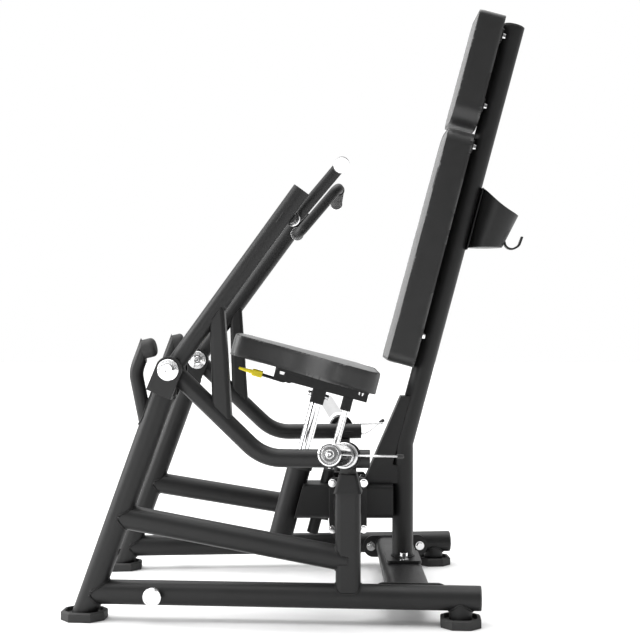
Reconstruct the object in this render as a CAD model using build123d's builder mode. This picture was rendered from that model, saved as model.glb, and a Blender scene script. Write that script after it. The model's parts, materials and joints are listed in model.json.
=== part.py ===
from build123d import *
import os
from math import cos, radians, sin, tan

# Plate-loaded seated chest press. Millimetres, +Z up. The floor is Z = 0, the mid-plane is Y = 0,
# and the user sits facing -X. Left is the user's left, on the -Y side.

# ---- Driving dimensions ----
tube_d = 60.3
tube_wall = 3.0
flare = 4.25
half_width = 319.4
leg_lean = 19.9
rail_z = 66.0
rail_rear_x = 427.3
brace_drop = 10.0
brace_leg_z = 254.5

upright_w = 60.0
upright_d = 56.0
upright_x = 110.8
upright_top = 319.0
saddle_top = 364.0
rest_top = 377.0

pivot_x = -322.7
pivot_z = 616.5
pin_d = 25.0
clevis_w = 65.0
clevis_gap = 68.0
clevis_plate = 8.0
clevis_drop = 65.0
clevis_lean = 22.5

arm_d = 45.0
arm_wall = 4.0
arm_lean = 53.8
arm_length = 541.0
arm_drop = 43.8
arm_low_z = 400.0
arm_low_end_x = 163.3
arm_bend_r = 115.0
hub_d = 58.0
hub_length = 66.0
hub_bore = 47.0
bearing_w = 14.0

horn_x = 109.3
horn_lift = 6.7
horn_d = 50.0
horn_root_d = 49.2
horn_sleeve_start = 90.0
horn_length = 391.5
horn_sweep = 6.93
horn_rise = 7.5
horn_flange_d = 68.0

handle_d = 30.0
handle_start = 472.0
handle_end = 657.0
handle_inset = 62.0
grip_reach = 225.3
grip_d = 34.0

lean = 15.0
post_d = 57.0
post_x = 265.9
post_bend_z = 400.6
post_slant = 1168.0
bracket_thick = 6.5
pad_thick = 75.0

beam_w = 100.0
beam_bottom = 204.3
beam_top = 295.1
cross_beam_x = 261.9
cross_beam_w = 108.0
cross_beam_h = 50.0
cross_beam_top = 88.0

seat_tube_d = 64.0
seat_post_d = 34.0
seat_axis_x = 49.8
seat_axis_z = 579.5
guide_tube_d = 31.0
guide_rod_d = 19.0
guide_offset = 80.6
seat_front = -256.0
seat_rear = 141.0
seat_thick = 58.0

running = 0.05
gap = 0.3

# ---- Reference frames and axes ----
turn = radians(flare)
tilt = radians(lean)
side = Plane(
    origin=(0, -half_width, 0),
    x_dir=(cos(turn), -sin(turn), 0),
    z_dir=(-sin(turn), -cos(turn), 0),
)
# The seat's frame: local X runs down to the rear, local Z is the sliding axis, pointing up.
seat = Plane(
    origin=(seat_axis_x, 0, seat_axis_z),
    x_dir=(cos(tilt), 0, -sin(tilt)),
    z_dir=(sin(tilt), 0, cos(tilt)),
)
# The back rest's frame: local X runs up the leaning post, local Z points at the user.
back = Plane(
    origin=(post_x, 0, post_bend_z),
    x_dir=(sin(tilt), 0, cos(tilt)),
    z_dir=(-cos(tilt), 0, sin(tilt)),
)


def on_side(x, z, out=0.0):
    """A point at a given X and Z, at a distance outward from the left side frame's plane."""
    return side.from_local_coords(Vector((x + sin(turn) * out) / cos(turn), z, out))


def on_seat(x, y, z):
    """A point given in the seat's frame."""
    return seat.from_local_coords(Vector(x, y, z))


def on_back(x, y, z):
    """A point given in the back rest's frame."""
    return back.from_local_coords(Vector(x, y, z))


def bar(start, end, diameter, bore=0.0, mode=Mode.ADD):
    """Add a round bar, or a tube if it has a bore, that runs from start to end."""
    run = end - start
    with BuildSketch(Plane(origin=start, z_dir=run)) as section:
        Circle(diameter / 2)
        if bore:
            Circle(bore / 2, mode=Mode.SUBTRACT)
    extrude(section.sketch, amount=run.length, mode=mode)


def bent_bar(points, radius, diameter, bore=0.0):
    """Add a round bar or tube along a path of straight runs with rounded corners."""
    with BuildLine() as path:
        FilletPolyline(*points, radius=radius)
    with BuildSketch(Plane(origin=path.line @ 0, z_dir=path.line % 0)) as section:
        Circle(diameter / 2)
        if bore:
            Circle(bore / 2, mode=Mode.SUBTRACT)
    sweep(section.sketch, path=path.line)


def square_bar(plane, width, height, length, corner, wall=0.0, mode=Mode.ADD):
    """Add a rounded rectangular bar, or a tube if it has a wall, that stands on a plane."""
    with BuildSketch(plane) as section:
        RectangleRounded(width, height, corner)
        if wall:
            RectangleRounded(width - 2 * wall, height - 2 * wall, corner - wall + 1, mode=Mode.SUBTRACT)
    extrude(section.sketch, amount=length, mode=mode)


def bolt(plane, x, y, head_d, head_h, shank_d, shank):
    """Add a hexagon head with its washer on a plane, and a shank that goes down behind it."""
    with BuildSketch(plane) as washer:
        with Locations((x, y)):
            Circle(head_d / 2 + 3)
    extrude(washer.sketch, amount=2)
    with BuildSketch(plane.offset(2)) as head:
        with Locations((x, y)):
            RegularPolygon(head_d / 2, 6)
    extrude(head.sketch, amount=head_h)
    with BuildSketch(plane) as rod:
        with Locations((x, y)):
            Circle(shank_d / 2)
    extrude(rod.sketch, amount=-shank)


def nut(plane, x, y, nut_d, nut_h):
    """Add a hexagon nut below a plane."""
    with BuildSketch(plane) as hexagon:
        with Locations((x, y)):
            RegularPolygon(nut_d / 2, 6)
    extrude(hexagon.sketch, amount=-nut_h)


def keep_main(piece):
    """Keep the largest solid of the piece being built, without the slivers that a cut left."""
    add(piece.part.solids().sort_by(SortBy.VOLUME)[-1], mode=Mode.REPLACE)


def save(piece, label):
    """Name a piece and write its file."""
    piece.part.label = label
    export_step(piece.part, f"parts/{label}.step")


def save_pair(piece, label):
    """Write a left piece and its mirror image on the right."""
    save(piece, "left_" + label)
    with BuildPart() as mirrored:
        mirror(piece.part, about=Plane.XZ)
    save(mirrored, "right_" + label)


def save_both(piece, label):
    """Write a left piece and its mirror image together, as separate solids of one file."""
    with BuildPart() as both:
        add(piece.part)
        mirror(piece.part, about=Plane.XZ)
    save(both, label)


os.makedirs("parts", exist_ok=True)

# ---- Main points of the side frame ----
def leaning(angle):
    """A unit vector in the left side frame's plane that leans back from upright by an angle in degrees."""
    level = sin(radians(angle))
    return Vector(level * cos(turn), -level * sin(turn), cos(radians(angle)))


leg_up = leaning(leg_lean)
arm_way = leaning(90 - arm_lean)
arm_perp = leaning(180 - arm_lean)
clevis_up = leaning(clevis_lean)
pivot = on_side(pivot_x, pivot_z)


def on_leg(z):
    """The leg's axis at a height."""
    return pivot - leg_up * ((pivot_z - z) / leg_up.Z)


leg_top = pivot - leg_up * clevis_drop
leg_foot = on_leg(-30)
brace_front = on_leg(brace_leg_z)
brace_rear_z = brace_leg_z - tan(radians(brace_drop)) * (upright_x - brace_front.X)
upright_floor = Plane(origin=on_side(upright_x, rail_z), x_dir=side.x_dir, z_dir=(0, 0, 1))
clevis_base = Plane(origin=pivot - clevis_up * clevis_drop, x_dir=side.z_dir, z_dir=clevis_up)

# ---- Side frames ----
foot_depth = 12.0
foot_height = 22.0
with BuildPart() as leg:
    bar(leg_foot, leg_top + leg_up * 10, tube_d, tube_d - 2 * tube_wall)
    split(bisect_by=Plane.XY.offset(foot_depth), keep=Keep.TOP)
    split(bisect_by=clevis_base, keep=Keep.BOTTOM)
save_pair(leg, "leg")

rear_foot_x = 381.8
rail_front = on_leg(rail_z)
rail_rear = on_side(rail_rear_x, rail_z)
with BuildPart() as rail:
    bar(rail_front, rail_rear, tube_d)
    bar(on_side(rear_foot_x, foot_depth), on_side(rear_foot_x, rail_z), 56)
    bar(rail_front, rail_rear, tube_d - 2 * tube_wall, mode=Mode.SUBTRACT)
    bar(leg_foot, leg_top, tube_d, mode=Mode.SUBTRACT)
    keep_main(rail)
save_pair(rail, "rail")

with BuildPart() as brace:
    bar(brace_front, on_side(upright_x, brace_rear_z), tube_d, tube_d - 2 * tube_wall)
    bar(leg_foot, leg_top, tube_d, mode=Mode.SUBTRACT)
    square_bar(upright_floor, upright_w, upright_d, 300, 14, mode=Mode.SUBTRACT)
    keep_main(brace)
save_pair(brace, "brace")

with BuildPart() as upright:
    square_bar(upright_floor, upright_w, upright_d, upright_top - rail_z, 14, wall=tube_wall)
    bar(rail_front, rail_rear, tube_d, mode=Mode.SUBTRACT)
save_pair(upright, "upright")

# The clevis is a bent plate: two cheeks beside the arm's hub and a floor welded on the leg.
cheek = clevis_gap / 2 + clevis_plate
with BuildPart() as clevis:
    with BuildSketch(side.offset(-cheek)) as cheek_shape:
        with BuildLine():
            turn_plane = Plane(
                origin=(pivot_x / cos(turn), pivot_z),
                x_dir=(cos(radians(clevis_lean)), -sin(radians(clevis_lean))),
            )
            corners = [
                turn_plane.from_local_coords(Vector(x, y))
                for x, y in [
                    (-clevis_w / 2, 0),
                    (-clevis_w / 2, -clevis_drop),
                    (clevis_w / 2, -clevis_drop),
                    (clevis_w / 2, 0),
                ]
            ]
            Polyline(*corners)
            ThreePointArc(corners[3], turn_plane.from_local_coords(Vector(0, clevis_w / 2)), corners[0])
        make_face()
    extrude(cheek_shape.sketch, amount=2 * cheek)
    with BuildSketch(clevis_base.offset(clevis_plate)) as throat:
        Rectangle(clevis_gap, 3 * clevis_w)
    extrude(throat.sketch, amount=200, mode=Mode.SUBTRACT)
    bar(pivot - side.z_dir * 100, pivot + side.z_dir * 100, pin_d + 2 * running, mode=Mode.SUBTRACT)
save_pair(clevis, "clevis")

# The pivot pin carries a domed disc and a socket screw at each end.
disc_d = 52.0
disc_thick = 6.0
with BuildPart() as pin:
    bar(pivot - side.z_dir * cheek, pivot + side.z_dir * cheek, pin_d)
    for way, screw_d, screw_h in ((1, 27, 12), (-1, 20, 5)):
        disc_plane = Plane(origin=pivot + side.z_dir * (way * cheek), z_dir=side.z_dir * way)
        with BuildSketch(disc_plane) as disc:
            Circle(disc_d / 2)
        extrude(disc.sketch, amount=disc_thick)
        with BuildSketch(disc_plane.offset(disc_thick)) as screw:
            Circle(screw_d / 2)
            RegularPolygon(5.8, 6, mode=Mode.SUBTRACT)
        extrude(screw.sketch, amount=screw_h)
save_both(pin, "pivot_pins")

# Bent tube in front of the leg. Its end is cut to face the arm at the end of the press, and a domed
# bumper sits on the cut.
stop_d = 34.0
stop_wall = 5.0
stop_low = on_leg(455)
stop_bend = on_side(-412.5, 609)
stop_end = on_side(-373.5, 714)
bumper_root = on_side(-393, 664.8)
bumper_way = leaning(76.5)
bumper_d = 47.0
bumper_reach = 32.0
with BuildPart() as stop_tube:
    bent_bar([stop_low, stop_bend, stop_end], 60, stop_d, stop_d - 2 * stop_wall)
    split(bisect_by=Plane(origin=bumper_root, z_dir=bumper_way), keep=Keep.BOTTOM)
    bar(leg_foot, leg_top, tube_d, mode=Mode.SUBTRACT)
    keep_main(stop_tube)
save_both(stop_tube, "stop_tubes")

# ---- Rubber stops: bumpers for the press stroke and rests under the arms ----
with BuildPart() as rubber:
    bar(bumper_root, bumper_root + bumper_way * bumper_reach, bumper_d)
    fillet(rubber.faces().sort_by(Axis.X)[-1].edges(), 11)
    bar(on_side(upright_x, saddle_top), on_side(upright_x, rest_top), 40)
save_both(rubber, "rubber_stops")

# ---- Feet ----
def octagon(x_size, y_size, cut):
    """An octagon outline: a rectangle with its corners cut off."""
    with BuildSketch(Plane.XY, mode=Mode.PRIVATE) as outline:
        Rectangle(x_size, y_size)
        chamfer(outline.vertices(), cut)
    return outline.sketch


def foot(centre, x_size, y_size, cut):
    """Add a rubber shoe with a chamfered rim and a pocket that the tube stands in."""
    floor = Plane(origin=(centre.X, centre.Y, 0), x_dir=side.x_dir, z_dir=(0, 0, 1))
    with BuildSketch(floor) as base:
        add(octagon(x_size, y_size, cut))
    extrude(base.sketch, amount=foot_height - 3)
    extrude(base.sketch.moved(Location((0, 0, foot_height - 3))), amount=3, taper=45)
    with BuildSketch(floor.offset(foot_depth)) as pocket:
        add(octagon(x_size - 2 * foot_rim, y_size - 2 * foot_rim, cut - foot_rim * 0.6))
    extrude(pocket.sketch, amount=foot_height, mode=Mode.SUBTRACT)


foot_rim = 9.0
with BuildPart() as feet:
    foot(on_leg(foot_depth), 109, 92, 27)
    foot(on_side(rear_foot_x, 0), 97, 97, 26)
save_both(feet, "rubber_feet")

# ---- Saddle caps on the uprights ----
with BuildPart() as saddle:
    with BuildSketch(upright_floor.offset(upright_top - rail_z)) as saddle_base:
        RectangleRounded(68, 68, 8)
    with BuildSketch(upright_floor.offset(saddle_top - rail_z)) as saddle_head:
        RectangleRounded(44, 52, 8)
    loft([saddle_base.sketch, saddle_head.sketch])
save_both(saddle, "saddle_caps")

# ---- Central structure ----
beam_mid = (beam_bottom + beam_top) / 2
beam_h = beam_top - beam_bottom
post_front_x = post_x - post_d / 2
seat_tube_top = -253.2
seat_tube_bottom = -463.2
beam_front_x = -82.7
flange_gap = 8.0
flange_x = 116.3
flange_z = 241.0
flange_bolt_x = 41.5
flange_bolt_z = 61.5


def beam_flange(plane):
    """Add a flange plate with its four bolt holes, from a plane outward."""
    with BuildSketch(plane) as flange:
        RectangleRounded(100, 148, 8)
        with GridLocations(2 * flange_bolt_x, 2 * flange_bolt_z, 2, 2):
            Circle(5, mode=Mode.SUBTRACT)
    extrude(flange.sketch, amount=flange_gap)


beam_side = Plane(origin=(flange_x, -beam_w / 2, flange_z), x_dir=(1, 0, 0), z_dir=(0, -1, 0))
beam_front = on_seat(22, 0, -340)

with BuildPart() as beam:
    front_end = Plane(origin=(beam_front_x, 0, beam_mid), x_dir=(0, 1, 0), z_dir=(1, 0, 0))
    square_bar(front_end, beam_w, beam_h, post_front_x - beam_front_x, 12)
    square_bar(front_end, beam_w - 8, beam_h - 8, post_front_x - beam_front_x, 9, mode=Mode.SUBTRACT)
    split(bisect_by=Plane(origin=beam_front, z_dir=seat.x_dir), keep=Keep.TOP)
    with BuildSketch(Plane(origin=beam_front, x_dir=(0, 1, 0), z_dir=seat.x_dir)) as end_plate:
        Rectangle(beam_w - 4, 300)
    extrude(end_plate.sketch, amount=5)
    split(bisect_by=Plane.XY.offset(beam_bottom), keep=Keep.TOP)
    split(bisect_by=Plane.XY.offset(beam_top), keep=Keep.BOTTOM)
    bar(on_seat(0, 0, seat_tube_bottom), on_seat(0, 0, seat_tube_top), seat_tube_d, mode=Mode.SUBTRACT)
    bar(on_seat(guide_offset, 0, -500), on_seat(guide_offset, 0, -200), guide_tube_d, mode=Mode.SUBTRACT)
    beam_flange(beam_side)
    beam_flange(Plane(origin=(flange_x, beam_w / 2, flange_z), x_dir=(-1, 0, 0), z_dir=(0, 1, 0)))
save(beam, "central_beam")

seat_tube_bore = seat_tube_d - 8
guide_top = -239.2
guide_bottom = -414.2
guide_bore = 25.0
with BuildPart() as seat_tube:
    bar(on_seat(0, 0, seat_tube_bottom), on_seat(0, 0, seat_tube_top), seat_tube_d, seat_tube_bore)
save(seat_tube, "seat_base_tube")

with BuildPart() as guide_tube:
    bar(on_seat(guide_offset, 0, guide_bottom), on_seat(guide_offset, 0, guide_top), guide_tube_d, guide_bore)
save(guide_tube, "seat_guide_tube")

# Plastic bushes that the seat's post and guide rod slide in.
with BuildPart() as bushes:
    post_bore = seat_post_d + 2 * running
    bar(on_seat(0, 0, seat_tube_top - 60), on_seat(0, 0, seat_tube_top), seat_tube_bore, post_bore)
    bar(on_seat(0, 0, seat_tube_top), on_seat(0, 0, seat_tube_top + 12), 71, post_bore)
    bar(on_seat(0, 0, seat_tube_bottom), on_seat(0, 0, seat_tube_bottom + 25), seat_tube_bore, post_bore)
    rod_bore = guide_rod_d + 2 * running
    bar(on_seat(guide_offset, 0, guide_top - 30), on_seat(guide_offset, 0, guide_top), guide_bore, rod_bore)
    bar(on_seat(guide_offset, 0, guide_top), on_seat(guide_offset, 0, guide_top + 5), guide_tube_d, rod_bore)
save(bushes, "seat_bushes")

base_plate = 8.0
bolt_y = 50.0
with BuildPart() as post:
    with BuildLine(Plane.XZ) as post_path:
        Polyline(
            (post_x, cross_beam_top + base_plate),
            (post_x, post_bend_z),
            (post_x + post_slant * sin(tilt), post_bend_z + post_slant * cos(tilt)),
        )
    with BuildSketch(Plane.XY.offset(cross_beam_top + base_plate)) as post_section:
        with Locations((post_x, 0)):
            Circle(post_d / 2)
            Circle(post_d / 2 - tube_wall, mode=Mode.SUBTRACT)
    sweep(post_section.sketch, path=post_path.line, transition=Transition.RIGHT)
    with BuildSketch(Plane.XY.offset(cross_beam_top)) as foot_plate:
        with Locations((post_x, 0)):
            RectangleRounded(92, 140, 10)
    extrude(foot_plate.sketch, amount=base_plate)
    with Locations((post_x, bolt_y, cross_beam_top), (post_x, -bolt_y, cross_beam_top)):
        Cylinder(6.5, 100, mode=Mode.SUBTRACT)
save(post, "back_post")

with BuildPart() as post_core:
    bar(Vector(post_x, 0, beam_bottom), Vector(post_x, 0, post_bend_z), post_d)
    bar(on_back(-60, 0, 0), on_back(post_slant, 0, 0), post_d)
    split(bisect_by=Plane(origin=on_back(0, 0, 0), z_dir=(0, 0, -1)), keep=Keep.BOTH)

# Box gusset between the beam and the post.
gusset_w = 50.0
gusset_foot_x = 158.3
gusset_head_x = 259.8
gusset_head_z = 530.0
gusset_axis_x = post_x + (gusset_head_z - post_bend_z) * tan(tilt)
with BuildPart() as gusset:
    with BuildSketch(Plane.XZ.offset(-gusset_w / 2)) as gusset_shape:
        with BuildLine():
            Polyline(
                (gusset_foot_x, beam_top), (gusset_head_x, gusset_head_z), (gusset_axis_x, gusset_head_z),
                (post_x, post_bend_z), (post_x, beam_top), close=True,
            )
        make_face()
    extrude(gusset_shape.sketch, amount=gusset_w)
    with BuildSketch(Plane.XZ.offset(-gusset_w / 2 + 4)) as gusset_hollow:
        offset(gusset_shape.sketch, amount=-5)
    extrude(gusset_hollow.sketch, amount=gusset_w - 8, mode=Mode.SUBTRACT)
    add(post_core.part, mode=Mode.SUBTRACT)
    keep_main(gusset)
save(gusset, "gusset")

# ---- Cross members ----
with BuildPart() as cross_tube:
    tube_start = Plane(
        origin=(upright_x, -(beam_w / 2 + 2 * flange_gap), flange_z), x_dir=(1, 0, 0), z_dir=(0, -1, 0)
    )
    square_bar(tube_start, upright_w, upright_w, 290, 14, wall=tube_wall)
    square_bar(upright_floor, upright_w, upright_d, 300, 14, mode=Mode.SUBTRACT)
    split(bisect_by=side, keep=Keep.BOTTOM)
    beam_flange(beam_side.offset(flange_gap))
    keep_main(cross_tube)
save_both(cross_tube, "cross_tubes")

flange_out = -(tube_d / 2)
rail_flange_x = (post_x - 1 + sin(turn) * flange_out) / cos(turn)
cross_beam_mid = cross_beam_top - cross_beam_h / 2
with BuildPart() as cross_half:
    with BuildSketch(Plane.XZ) as cross_section:
        with Locations((cross_beam_x, cross_beam_mid)):
            RectangleRounded(cross_beam_w, cross_beam_h, 20)
            offset(amount=-tube_wall, mode=Mode.SUBTRACT)
    extrude(cross_section.sketch, amount=400)
    split(bisect_by=side.offset(flange_out - flange_gap), keep=Keep.BOTTOM)
    with BuildSketch(side.offset(flange_out - flange_gap)) as end_flange:
        with Locations((rail_flange_x, 61)):
            RectangleRounded(190, 64, 30)
        with Locations((rail_flange_x - 73, 61), (rail_flange_x + 73, 61)):
            Circle(6.5, mode=Mode.SUBTRACT)
    extrude(end_flange.sketch, amount=flange_gap)
with BuildPart() as cross_beam:
    add(cross_half.part)
    mirror(cross_half.part, about=Plane.XZ)
    with Locations((post_x, bolt_y, cross_beam_top), (post_x, -bolt_y, cross_beam_top)):
        Cylinder(6.5, 30, mode=Mode.SUBTRACT)
save(cross_beam, "rear_cross_beam")

# ---- Bolts of the frame and of the back pads ----
def bracket_head(plane, x, y):
    """Add the domed square head of a pad bolt on a plane."""
    with BuildSketch(plane) as head:
        with Locations((x, y)):
            RectangleRounded(16, 16, 5)
    extrude(head.sketch, amount=8, taper=12)


pad_bolt_rows = (295, 819, 932, 1126)
pad_bolt_y = 45.0
with BuildPart() as side_bolts:
    for x in (-73, 73):
        head_plane = Plane(
            origin=side.from_local_coords(Vector(rail_flange_x + x, 61, flange_out - flange_gap)),
            x_dir=side.x_dir, z_dir=-side.z_dir,
        )
        bolt(head_plane, 0, 0, 20, 8, 12, flange_gap - gap)
    bolt(Plane(origin=(post_x, -bolt_y, cross_beam_top + base_plate)), 0, 0, 20, 16, 12, base_plate + 8)
    for x in (-flange_bolt_x, flange_bolt_x):
        for z in (-flange_bolt_z, flange_bolt_z):
            bolt(beam_side.offset(2 * flange_gap), x, z, 16, 8, 9, 2 * flange_gap)
            nut(beam_side, x, z, 16, 8)
    behind = Plane(origin=on_back(0, 0, post_d / 2), x_dir=back.x_dir, z_dir=-back.z_dir)
    for row in pad_bolt_rows:
        bracket_head(behind, row, pad_bolt_y)
save_both(side_bolts, "frame_bolts")

# ---- End caps of the rails and of the post ----
with BuildPart() as rail_cap:
    bar(rail_rear, rail_rear + side.x_dir * 4, tube_d)
    fillet(rail_cap.faces().sort_by(Axis.X)[-1].edges(), 2.5)
with BuildPart() as tube_caps:
    add(rail_cap.part)
    mirror(rail_cap.part, about=Plane.XZ)
    bar(on_back(post_slant, 0, 0), on_back(post_slant + 4, 0, 0), post_d)
save(tube_caps, "tube_caps")

# ---- Band pegs on the rails ----
peg_x = -362.0
peg_root = on_side(peg_x, rail_z) + side.z_dir * (tube_d / 2)
with BuildPart() as peg:
    bar(peg_root - side.z_dir * 6, peg_root + side.z_dir * 13, 30)
    bar(rail_front, rail_rear, tube_d, mode=Mode.SUBTRACT)
    bar(peg_root + side.z_dir * 13, peg_root + side.z_dir * 19, 45)
    chamfer(peg.faces().sort_by(Axis.Y)[0].edges(), 1.5)
save_both(peg, "band_pegs")

# ---- Back rest ----
def pad_board(low, high, low_w, high_w, low_corner, high_corner):
    """Add a padded board that tapers towards its top, with rounded corners."""
    with BuildSketch(back.offset(post_d / 2 + bracket_thick)) as outline:
        with BuildLine():
            Polyline((low, -low_w / 2), (high, -high_w / 2), (high, high_w / 2), (low, low_w / 2), close=True)
        make_face()
        fillet(outline.vertices().group_by(Axis.X)[0], low_corner)
        fillet(outline.vertices().group_by(Axis.X)[-1], high_corner)
    extrude(outline.sketch, amount=pad_thick)


with BuildPart() as back_pad:
    pad_board(208, 850, 262, 206, 24, 43)
save(back_pad, "back_pad")

with BuildPart() as head_pad:
    pad_board(860, 1174, 200, 172, 51, 17)
save(head_pad, "head_pad")

# Steel plates across the post that the pads are bolted to from behind.
with BuildPart() as pad_brackets:
    for row in pad_bolt_rows:
        with BuildSketch(back.offset(post_d / 2)) as bracket:
            with Locations((row, 0)):
                RectangleRounded(36, 120, 8)
        extrude(bracket.sketch, amount=bracket_thick)
save(pad_brackets, "pad_brackets")

# ---- Bottle holder: a tapered cup with a slanted mouth, and the hook behind it ----
cup_wall = 3.0
cup_floor_z = 931.5
cup_rim_z = 1093.0
cup_base = Vector(489.3, 0, cup_floor_z)
cup_rim = Vector(550.8, 0, cup_rim_z)
cup_backing = 3.0
mouth_r = 170.0
mouth_slant = Vector(0.782, 0, -0.623)
mouth_axis = Vector(483.1, 0, 1092.9) - Vector(0.623, 0, 0.782) * mouth_r


def cup_cone(floor_z, inset):
    """A leaning cone between level circles, from a floor height up to the rim, drawn in by inset."""
    share = (floor_z - cup_floor_z) / (cup_rim_z - cup_floor_z)
    centre = cup_base + (cup_rim - cup_base) * share
    with BuildPart(mode=Mode.PRIVATE) as cone:
        with BuildSketch(Plane(origin=centre)) as low_ring:
            Circle(46 + 21.5 * share - inset)
        with BuildSketch(Plane(origin=cup_rim)) as high_ring:
            Circle(67.5 - inset)
        loft([low_ring.sketch, high_ring.sketch])
    return cone.part


post_back = Plane(origin=on_back(0, 0, -post_d / 2), x_dir=back.x_dir, z_dir=back.z_dir)
with BuildPart() as holder:
    add(cup_cone(cup_floor_z, 0))
    add(cup_cone(cup_floor_z + cup_wall, cup_wall), mode=Mode.SUBTRACT)
    bar(mouth_axis - mouth_slant * 300, mouth_axis + mouth_slant * 300, 2 * mouth_r, mode=Mode.INTERSECT)
    split(bisect_by=post_back.offset(-cup_backing), keep=Keep.BOTTOM)
    with BuildSketch(post_back.offset(-cup_backing)) as backing:
        with Locations((638, 0)):
            RectangleRounded(172, 54, 6)
    extrude(backing.sketch, amount=cup_backing)
    keep_main(holder)
save(holder, "bottle_holder")

with BuildPart() as hook:
    with BuildSketch(Plane.XZ.offset(-9)) as hook_side:
        with BuildLine():
            FilletPolyline((538, 962), (545, 933), (562, 926), (581, 936), (590, 961), radius=18)
        trace(line_width=5)
    extrude(hook_side.sketch, amount=18)
    add(cup_cone(cup_floor_z, 0), mode=Mode.SUBTRACT)
    keep_main(hook)
save(hook, "towel_hook")

# ---- Seat: pad, bracket, post, guide rod and their sockets ----
with BuildPart() as seat_pad:
    with BuildSketch(seat) as seat_outline:
        with BuildLine():
            Spline((-120, -112), (-60, -130), (10, -176), (70, -188), tangents=[(1, -0.1), (1, 0)])
            Line((70, -188), (seat_rear, -188))
            Line((seat_rear, -188), (seat_rear, 188))
            Line((seat_rear, 188), (70, 188))
            Spline((70, 188), (10, 176), (-60, 130), (-120, 112), tangents=[(-1, 0), (-1, -0.1)])
            Line((-120, 112), (seat_front, 104))
            Line((seat_front, 104), (seat_front, -104))
            Line((seat_front, -104), (-120, -112))
        make_face()
        fillet(seat_outline.vertices().group_by(Axis.X)[0], 34)
        fillet(seat_outline.vertices().group_by(Axis.X)[-1], 46)
    extrude(seat_outline.sketch, amount=seat_thick)
save(seat_pad, "seat_pad")

channel_h = 34.0
channel_w = 60.0
channel_half = 130.0
plate_thick = 10.0
plate_w = 120.0
lever_u = -88.0
lever_w = -27.0
seat_bolt_x = 109.0
with BuildPart() as channel:
    with BuildSketch(seat) as seat_plate:
        RectangleRounded(2 * channel_half, plate_w, 10)
    extrude(seat_plate.sketch, amount=-plate_thick)
    with BuildSketch(seat.offset(-plate_thick)) as channel_ring:
        with Locations((0, channel_w / 2 - 2.5), (0, 2.5 - channel_w / 2)):
            Rectangle(2 * channel_half, 5)
    extrude(channel_ring.sketch, amount=plate_thick - channel_h)
    bar(on_seat(lever_u, -channel_w / 2, lever_w), on_seat(lever_u, channel_w / 2, lever_w), 8)
save(channel, "seat_bracket")

with BuildPart() as seat_bolts:
    for x in (-seat_bolt_x, seat_bolt_x):
        for y in (-pad_bolt_y, pad_bolt_y):
            bracket_head(Plane(origin=on_seat(0, 0, -plate_thick), x_dir=seat.x_dir, z_dir=-seat.z_dir), x, y)
save(seat_bolts, "seat_bolts")

socket_low = -72.0
slot_floor = -44.0
post_head = -48.0
rod_d = 10.0
with BuildPart() as sockets:
    square_bar(seat.offset(socket_low), 38, 38, -plate_thick - socket_low, 4)
    with BuildSketch(seat.offset(slot_floor)) as lever_slot:
        with Locations((-5, 0)):
            Rectangle(30, 15)
    extrude(lever_slot.sketch, amount=60, mode=Mode.SUBTRACT)
    bar(on_seat(0, 0, socket_low), on_seat(0, 0, post_head), seat_post_d, mode=Mode.SUBTRACT)
    bar(on_seat(0, 0, post_head), on_seat(0, 0, slot_floor), rod_d + 2 * running, mode=Mode.SUBTRACT)
    guide_seat = Plane(origin=on_seat(guide_offset, 0, -71), x_dir=seat.x_dir, z_dir=seat.z_dir)
    square_bar(guide_seat, 28, 28, 71 - plate_thick, 4)
    bar(on_seat(guide_offset, 0, -71), on_seat(guide_offset, 0, -36), guide_rod_d, mode=Mode.SUBTRACT)
    for way in (1, -1):
        bar(on_seat(19 * way, 0, -50), on_seat(27 * way, 0, -50), 13)
save(sockets, "post_sockets")

post_foot = -406.0
with BuildPart() as seat_post:
    bar(on_seat(0, 0, post_foot), on_seat(0, 0, post_head), seat_post_d, 22)
save(seat_post, "seat_post")

with BuildPart() as guide_rod:
    bar(on_seat(guide_offset, 0, -374), on_seat(guide_offset, 0, -36), guide_rod_d)
save(guide_rod, "guide_rod")

with BuildPart() as release_rod:
    bar(on_seat(0, 0, -400), on_seat(0, 0, -29.5), rod_d)
save(release_rod, "release_rod")

# ---- Seat lever: rod, pivot boss and grip ----
with BuildPart() as lever:
    bent_bar(
        [on_seat(6, 0, -24), on_seat(-82, 0, -26), on_seat(-102, 0, -38), on_seat(-161, 0, -35.5)], 12, 9
    )
    bar(on_seat(lever_u, -7, lever_w), on_seat(lever_u, 7, lever_w), 25)
    bar(on_seat(lever_u, -8, lever_w), on_seat(lever_u, 8, lever_w), 8 + 2 * running, mode=Mode.SUBTRACT)
save(lever, "seat_lever")

lever_end = on_seat(-161, 0, -35.5)
grip_axis = (on_seat(-228, 0, -34) - lever_end).normalized()
with BuildPart() as lever_grip:
    grip_plane = Plane(origin=lever_end, x_dir=(0, 1, 0), z_dir=grip_axis)
    square_bar(grip_plane, 22, 19, 28, 4)
    with BuildSketch(grip_plane.offset(28)) as tab_root:
        RectangleRounded(19, 12, 4)
    with BuildSketch(grip_plane.offset(66)) as tab_tip:
        RectangleRounded(13, 6, 2.8)
    loft([tab_root.sketch, tab_tip.sketch])
    add(lever.part, mode=Mode.SUBTRACT)
    keep_main(lever_grip)
save(lever_grip, "lever_grip")

# ---- Arms ----
arm_low_run = tan(radians(arm_drop))
bend_x = pivot_x + (pivot_z - arm_low_z) / arm_low_run
arm_top = pivot + arm_way * arm_length

with BuildPart() as hub:
    bar(pivot - side.z_dir * (hub_length / 2), pivot + side.z_dir * (hub_length / 2), hub_d, hub_bore)
save_pair(hub, "arm_hub")

with BuildPart() as bearings:
    for way in (1, -1):
        bearing_end = pivot + side.z_dir * (way * (hub_length / 2 - 1))
        bar(bearing_end, bearing_end - side.z_dir * (way * bearing_w), hub_bore, pin_d + 2 * running)
save_pair(bearings, "hub_bearings")

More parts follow.
